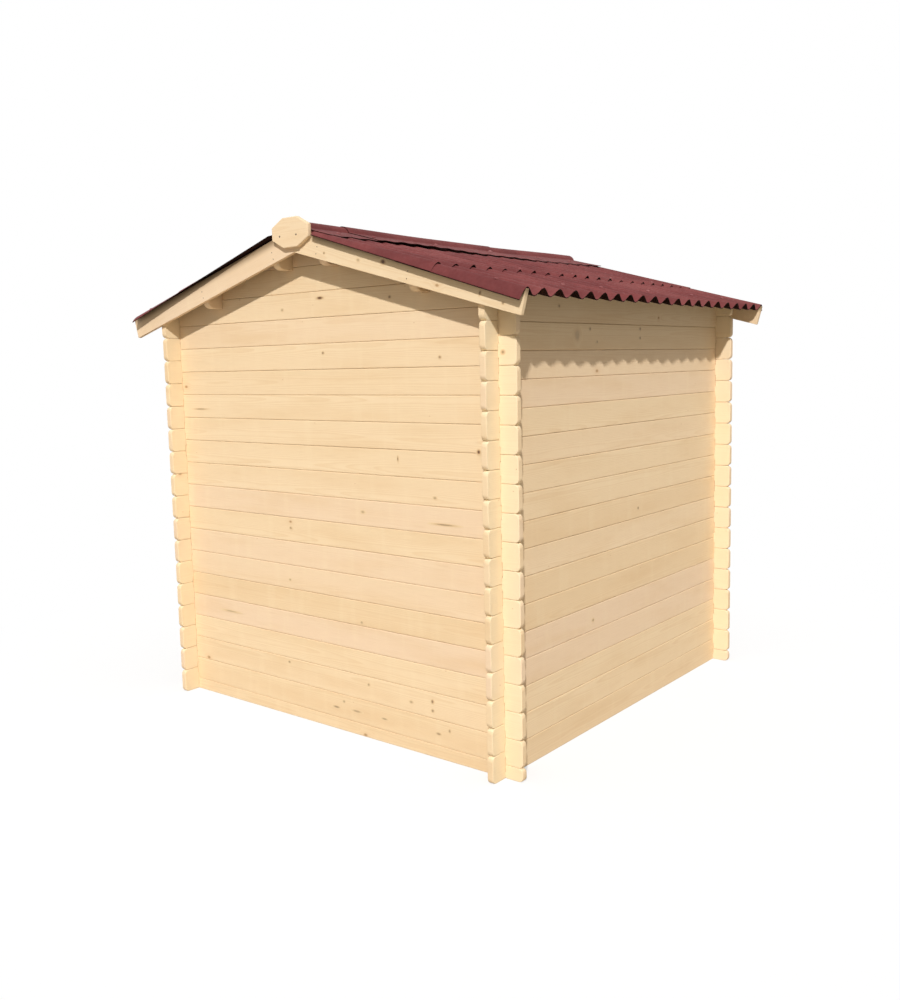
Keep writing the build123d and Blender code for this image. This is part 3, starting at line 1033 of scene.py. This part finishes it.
def barge_nails():
    """Nails through the barge boards into the ends of the purlins."""
    for side, _ in SIDES:
        for end in (-1, 1):
            for x, _ in PURLINS.values():
                for lift in BARGE_NAIL_LIFTS:
                    down = x / COS + BARGE_NAIL_SHIFT
                    yield slope_point(side, down, lift, end * BARGE_OUT), Vector((0, end, 0))


studs("sheet_nails", sheet_nails(), 0.0095, 0.005, nail_red)
studs("disc_nails", disc_nails(), 0.0042, 0.0008, dull_steel)
studs("barge_nails", barge_nails(), 0.0024, 0.0006, dull_steel)


# Door

def door_frame():
    """Posts grooved over the ends of the wall logs, and the rail between them."""
    inner = DOOR_W / 2
    outer = inner + JAMB_W
    groove = outer - JAMB_GROOVE
    half = JAMB_D / 2
    profile = [(inner, -half), (outer, -half), (outer, -THICK / 2), (groove, -THICK / 2),
               (groove, THICK / 2), (outer, THICK / 2), (outer, half), (inner, half)]
    for side, hand in SIDES:
        post = Timber()
        post.add([Vector(p) for p in profile], DOOR_TOP - THRESHOLD,
                 lambda c: Vector((side * c.x, c.z - WALL_MID, THRESHOLD + c.y)), FRAME_EASE, lengthwise=True)
        post.finish(f"door_{hand}_post", board_wood, "trim_wood", f"door_{hand}_jamb")
    head = Timber()
    head.add(box(-inner, inner, DOOR_TOP - HEAD, DOOR_TOP), JAMB_D,
             lambda c: Vector((c.x, FRONT + c.y, c.z)), FRAME_EASE)
    head.finish("door_head_rail", board_wood, "trim_wood", "door_head")


def door_leaf():
    """Upright boards with eased edges, side by side."""
    leaf = Timber()
    pitch = LEAF_W / BOARDS
    for k in range(BOARDS):
        low = -LEAF_W / 2 + k * pitch
        out = dice.uniform(-BOARD_OFFSET, BOARD_OFFSET)
        leaf.add(box(LEAF_LOW, LEAF_HIGH, low + SEAT, low + pitch - SEAT), LEAF_T,
                 lambda c: Vector((c.z, FRONT + c.y + out, c.x)), BOARD_EASE)
    leaf.finish("door_boards", board_wood, "trim_wood", "door_leaf")


def door_ledges():
    """Three ledges on the back of the leaf, and a brace between each two, with its grain along it."""
    back = FRONT + LEAF_T
    end = LEAF_W / 2 - LEDGE_INSET
    half = LEDGE_HEIGHT / 2
    wood = Timber()
    for z in LEDGE_HEIGHTS:
        wood.add(box(-end, end, z - half, z + half, LEDGE_RADIUS), LEDGE_T,
                 lambda c: Vector((c.x, back + c.y, c.z)), FRAME_EASE)
    for lower, upper in zip(LEDGE_HEIGHTS, LEDGE_HEIGHTS[1:]):
        low = lower + half
        high = upper - half
        corners = [(-end, low), (LEDGE_HEIGHT - end, low), (end, high), (end - LEDGE_HEIGHT, high)]
        lie = Matrix.Rotation(math.atan2(high - low, 2 * end - LEDGE_HEIGHT), 2)
        outline = [lie.transposed() @ Vector(p) for p in corners]
        wood.add(outline, LEDGE_T, lambda c: Vector((*(lie @ c.xz), back + c.y)).xzy, FRAME_EASE)
    wood.finish("door_battens", board_wood, "trim_wood", "door_ledges")


SCREW_RADIUS = 0.0048
SCREW_SLOT = 0.0006
SCREW_HEIGHT = 0.0016
SCREW_TAPER = 0.84
SCREW_STEPS = 8
HINGE_T = 0.004
STRAP_SCREWS = (0.040, 0.130, 0.220, 0.300)
PLATE_SCREWS = (-0.038, 0.0, 0.038)
PLATE_SCREWS_X = 0.020
HANDLE_T = 0.003
HANDLE_INSET = 0.055
HANDLE_SCREWS = (-0.070, 0.070)


def screws(name, places):
    """Slotted screw heads on the door side: two half rounds with the slot between them."""
    bm = bmesh.new()
    start = math.asin(SCREW_SLOT / SCREW_RADIUS)
    turns = [start + (math.pi - 2 * start) * k / SCREW_STEPS for k in range(SCREW_STEPS + 1)]
    for point in places:
        spin = Matrix.Rotation(dice.uniform(0, math.pi), 2)
        for half in (1, -1):
            arc = [(SCREW_RADIUS * math.cos(t), half * SCREW_RADIUS * math.sin(t)) for t in turns]
            rim = [spin @ Vector(p) for p in arc]
            low = [bm.verts.new(point + Vector((p.x, 0.0, p.y))) for p in rim]
            lift = Vector((0.0, -SCREW_HEIGHT, 0.0))
            top = [bm.verts.new(point + lift + SCREW_TAPER * Vector((p.x, 0.0, p.y))) for p in rim]
            for k in range(SCREW_STEPS):
                bm.faces.new((low[k], low[k + 1], top[k + 1], top[k]))
            bm.faces.new((low[0], top[0], top[-1], low[-1]))
            bm.faces.new(top)
    bmesh.ops.recalc_face_normals(bm, faces=bm.faces)
    piece(name, bm, [steel])


def screw_places():
    """Screws of the two hinges, strap and plate, and of the handle."""
    root = -DOOR_W / 2
    for z in (LEDGE_HEIGHTS[0], LEDGE_HEIGHTS[-1]):
        for x in STRAP_SCREWS:
            yield Vector((root + x, FRONT - HINGE_T, z))
        for step in PLATE_SCREWS:
            yield Vector((root - PLATE_SCREWS_X, FRONT - HINGE_T, z + step))
    middle = (LEAF_LOW + LEAF_HIGH) / 2
    for step in HANDLE_SCREWS:
        yield Vector((LEAF_W / 2 - HANDLE_INSET, FRONT - HANDLE_T, middle + step))


def worn_steel(name):
    """Steel finish and rounded edges for a CAD node that stays."""
    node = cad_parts[name]
    node.data.materials.clear()
    node.data.materials.append(steel)
    worn = node.modifiers.new("worn edges", "BEVEL")
    worn.width = 0.0009
    worn.segments = 2
    worn.limit_method = "ANGLE"
    worn.angle_limit = math.radians(40)


door_frame()
door_leaf()
door_ledges()
screws("door_screws", screw_places())
worn_steel("door_hinges")
worn_steel("door_handle")


# Studio

scene = bpy.context.scene
scene.view_settings.view_transform = "Standard"

# Camera of the photograph: picture size, focal length and picture centre in pixels, and the turn as a
# vector whose length is the angle
PICTURE_W = 900
PICTURE_H = 1000
FOCAL = 995.88
CENTRE_X = 447.47
CENTRE_Y = 484.49
CAMERA_TURN = Vector((1.6276, 0.5547, -0.5258))
CAMERA_PLACE = Vector((-3.2633, 4.1207, 1.6659))
SUN_TOWARD = Vector((-0.444, 0.672, 0.592))


def camera():
    look = Matrix.Rotation(CAMERA_TURN.length, 3, CAMERA_TURN)
    half_turn = Matrix.Rotation(math.pi, 3, "Z")
    right, down, ahead = (half_turn @ row for row in look)
    data = bpy.data.cameras.new("camera")
    data.sensor_width = 36.0
    data.lens = FOCAL * data.sensor_width / PICTURE_H
    data.shift_x = (PICTURE_W / 2 - CENTRE_X) / PICTURE_H
    data.shift_y = (CENTRE_Y - PICTURE_H / 2) / PICTURE_H
    data.clip_end = 200.0
    obj = bpy.data.objects.new("camera", data)
    axes = Matrix((right, -down, -ahead)).transposed().to_4x4()
    obj.matrix_world = Matrix.Translation(CAMERA_PLACE) @ axes
    scene.collection.objects.link(obj)
    scene.camera = obj


def key_light():
    data = bpy.data.lights.new("key", "SUN")
    data.energy = 3.1
    data.angle = math.radians(1.7)
    obj = bpy.data.objects.new("key", data)
    obj.rotation_mode = "QUATERNION"
    obj.rotation_quaternion = SUN_TOWARD.to_track_quat("Z", "Y")
    obj.location = SUN_TOWARD * 8.0
    scene.collection.objects.link(obj)


def new_node(tree, kind, *inputs, **values):
    """Node of the studio's trees; each input is a socket to link, a number or colour to set, or None."""
    made = tree.nodes.new(kind)
    for key, value in values.items():
        setattr(made, key, value)
    for socket, entry in zip(made.inputs, inputs):
        if hasattr(entry, "is_output"):
            tree.links.new(entry, socket)
        elif entry is not None:
            socket.default_value = entry
    return made


def seen_directly(tree):
    """1 for rays that show the background: from the camera, or by reflection or through glass."""
    paths = new_node(tree, "ShaderNodeLightPath").outputs
    value = paths["Is Camera Ray"]
    for other in ("Is Glossy Ray", "Is Transmission Ray"):
        value = new_node(tree, "ShaderNodeMath", value, paths[other], operation="MAXIMUM").outputs[0]
    return value


def fill_light():
    """Soft light from all round, stronger from above, in front of a white background."""
    world = bpy.data.worlds.new("studio")
    scene.world = world
    world.use_nodes = True
    tree = world.node_tree
    tree.nodes.clear()
    direction = new_node(tree, "ShaderNodeTexCoord").outputs["Generated"]
    height = new_node(tree, "ShaderNodeSeparateXYZ", direction).outputs["Z"]
    level = new_node(tree, "ShaderNodeMapRange", height, 0.0, 1.0, 0.20, 0.66).outputs[0]
    fill = new_node(tree, "ShaderNodeBackground", rgb(1.0, 0.94, 0.86), level)
    white = new_node(tree, "ShaderNodeBackground", rgb(1.0, 1.0, 1.0), 1.0)
    both = new_node(tree, "ShaderNodeMixShader", seen_directly(tree), fill.outputs[0], white.outputs[0])
    new_node(tree, "ShaderNodeOutputWorld", both.outputs[0])


def floor():
    """Pale floor that keeps the shadow near the shed and runs out into the white background."""
    bm = bmesh.new()
    bmesh.ops.create_circle(bm, cap_ends=True, segments=96, radius=60.0)
    mesh = bpy.data.meshes.new("floor")
    bm.to_mesh(mesh)
    bm.free()
    obj = bpy.data.objects.new("floor", mesh)
    scene.collection.objects.link(obj)
    mesh.materials.append(floor_material())


def floor_material():
    """Duller for the light it returns to the shed than for the camera, which sees it fade to white."""
    material = bpy.data.materials.new("pale_floor")
    material.use_nodes = True
    tree = material.node_tree
    tree.nodes.clear()
    dull = new_node(tree, "ShaderNodeBsdfDiffuse", rgb(0.44, 0.40, 0.34))
    pale = new_node(tree, "ShaderNodeBsdfDiffuse", rgb(0.95, 0.97, 1.0))
    white = new_node(tree, "ShaderNodeEmission", rgb(1.0, 1.0, 1.0), 1.0)
    place = new_node(tree, "ShaderNodeTexCoord").outputs["Object"]
    distance = new_node(tree, "ShaderNodeVectorMath", place, operation="LENGTH").outputs["Value"]
    fade = new_node(tree, "ShaderNodeMapRange", distance, 1.4, 3.2, 0.55, 1.0).outputs[0]
    shown = new_node(tree, "ShaderNodeMixShader", fade, pale.outputs[0], white.outputs[0])
    both = new_node(tree, "ShaderNodeMixShader", seen_directly(tree), dull.outputs[0], shown.outputs[0])
    new_node(tree, "ShaderNodeOutputMaterial", both.outputs[0])
    return material


camera()
key_light()
fill_light()
floor()
